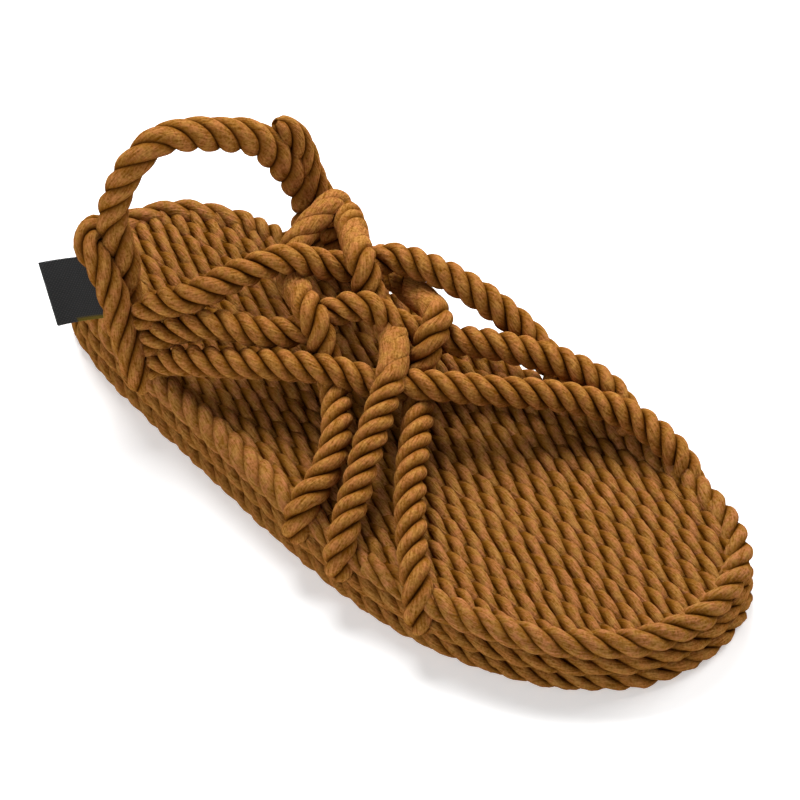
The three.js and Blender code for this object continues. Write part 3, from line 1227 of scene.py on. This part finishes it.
@dataclass
class Label:
    """The folded ribbon tag held under the outer side loop.

    The selvedge's size is in shares of the tag's width and height.
    """

    thickness: float = 1.1 * MM
    bulge: float = 1.4 * MM
    selvedge_size: tuple[float, float] = (0.65, 0.06)
    cuts: int = 24
    edge_radius: float = 0.3 * MM
    edge_steps: int = 2
    smooth_angle: float = math.radians(50)

    def build(self, material: bpy.types.Material) -> bpy.types.Object:
        """Model the tag.

        Args:
            material: The ribbon's finish.

        Returns:
            The tag.
        """
        bpy.ops.mesh.primitive_plane_add(size=1)
        tag = bpy.context.object
        tag.name = tag.data.name = "label_tag"
        with editing(tag):
            bpy.ops.mesh.subdivide(number_cuts=self.cuts)
        self.place(tag)
        thick = tag.modifiers.new("fold", "SOLIDIFY")
        thick.thickness = self.thickness
        thick.offset = 0
        apply_modifier(tag, thick)
        bevel = tag.modifiers.new("soft_edge", "BEVEL")
        bevel.width = self.edge_radius
        bevel.segments = self.edge_steps
        bevel.limit_method = "ANGLE"
        apply_modifier(tag, bevel)
        pick(tag)
        bpy.ops.object.shade_smooth_by_angle(angle=self.smooth_angle)
        return dress(tag, material, Slot.LABEL, "label")

    def place(self, tag: bpy.types.Object) -> None:
        """Stretch a flat square between the tag's corners, bulge it and mark its lower selvedge.

        Args:
            tag: A square of side 1 round the origin.
        """
        top_in, low_in, low_out, top_out = to_object(LABEL_CORNERS)
        flat = vertex_places(tag.data) + 0.5
        out, up = flat[:, :1], flat[:, 1:2]
        sheet = up * (top_in + out * (top_out - top_in)) + (1 - up) * (low_in + out * (low_out - low_in))
        facing = np.cross(low_in - top_in, top_out - top_in)
        facing /= np.linalg.norm(facing)
        sheet += facing * self.bulge * 4 * out * (1 - out)
        tag.data.vertices.foreach_set("co", sheet.ravel())
        length, depth = self.selvedge_size
        write_values(tag.data, "selvedge", ((out < length) & (up < depth)).ravel())
        with editing(tag):
            bpy.ops.mesh.normals_make_consistent(inside=False)


@dataclass
class Studio:
    """A pale floor, soft light from above and a camera at the photograph's angle.

    The camera looks at the target, a point of the ground in the tables' x and y, from a distance in
    millimetres and at angles in radians. The photograph's middle_px comes to the picture's middle.
    """

    floor_size: float = 24
    floor_colour: Colour = (0.8, 0.8, 0.8)
    floor_roughness: float = 0.8
    floor_shine: float = 0.5
    floor_glow: float = 0.4
    fill_light: float = 0.22
    target: tuple[float, float] = (147.614, 50.040)
    azimuth: float = -0.8186
    elevation: float = 0.8211
    distance: float = 2501.04
    focal_px: float = 5013.25
    roll: float = -0.0276
    middle_px: tuple[float, float] = (325, 405)
    zoom: float = 1.45
    image_px: float = 800
    sensor: float = 36
    view_depth: float = 50

    def build(self) -> None:
        """Set up the floor, the lights and the camera."""
        self.lay_floor()
        self.hang_lights()
        self.place_camera()

    def lay_floor(self) -> None:
        """Lay a wide pale floor under the sole."""
        bpy.ops.mesh.primitive_plane_add(size=self.floor_size)
        floor = bpy.context.object
        floor.name = "floor"
        material, shader = matte_material("pale_floor", self.floor_roughness, self.floor_shine)
        shader.inputs["Base Color"].default_value = (*self.floor_colour, 1)
        shader.inputs["Emission Color"].default_value = (1, 1, 1, 1)
        shader.inputs["Emission Strength"].default_value = self.floor_glow
        floor.data.materials.append(material)

    def hang_lights(self) -> None:
        """Hang a large soft light above, weaker ones on the far and near side, and fill from all round."""
        world = bpy.data.worlds.new("studio")
        world.use_nodes = True
        sky = world.node_tree.nodes["Background"]
        sky.inputs["Color"].default_value = (1, 1, 1, 1)
        sky.inputs["Strength"].default_value = self.fill_light
        bpy.context.scene.world = world
        for name, place, size, power in (
            ("key_light", (-1.2, 0.9, 1.9), 1.3, 80),
            ("back_light", (0.5, 1.5, 1.4), 1.0, 26),
            ("front_light", (0.2, -1.5, 0.7), 1.0, 10),
        ):
            bpy.ops.object.light_add(type="AREA", location=place)
            light = bpy.context.object
            light.name = name
            light.data.size = size
            light.data.energy = power
            light.rotation_euler = (-Vector(place)).to_track_quat("-Z", "Y").to_euler()

    def place_camera(self) -> None:
        """Place the camera on the photograph's line of sight, moved sideways to centre the sandal."""
        scene = bpy.context.scene
        scene.view_settings.view_transform = "Standard"
        level = math.cos(self.elevation)
        back = Vector(
            (level * math.cos(self.azimuth), level * math.sin(self.azimuth), math.sin(self.elevation))
        )
        right = (-back).cross(Vector((0, 0, 1))).normalized()
        up = right.cross(-back)
        turned_right = right * math.cos(self.roll) + up * math.sin(self.roll)
        turned_up = -right * math.sin(self.roll) + up * math.cos(self.roll)
        per_px = self.distance / self.focal_px
        aside = turned_right * (self.middle_px[0] - self.image_px / 2) * per_px
        down = turned_up * (self.middle_px[1] - self.image_px / 2) * per_px
        aim = Vector((self.target[0] - BOX_MIDDLE[0], self.target[1] - BOX_MIDDLE[1], 0))
        bpy.ops.object.camera_add()
        camera = bpy.context.object
        camera.matrix_world = Matrix.Translation((aim + back * self.distance + aside - down) * MM) @ Matrix(
            (turned_right, turned_up, back)
        ).transposed().to_4x4()
        camera.data.sensor_width = self.sensor
        camera.data.lens = self.sensor * self.focal_px / self.image_px * self.zoom
        camera.data.clip_end = self.view_depth
        scene.camera = camera


def main() -> None:
    """Build the sandal's pieces in order, report them and set up the studio."""
    logging.basicConfig(level=logging.INFO, format="%(name)s %(message)s")
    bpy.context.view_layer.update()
    finishes = Finishes()
    pieces = [
        *Sole().build(finishes),
        *WovenUpper().build(finishes.straps),
        Label().build(finishes.label),
    ]
    for piece in pieces:
        LOG.info("%s: %d faces", piece.name, len(piece.data.polygons))
    Studio().build()


if __name__ == "__main__":
    main()
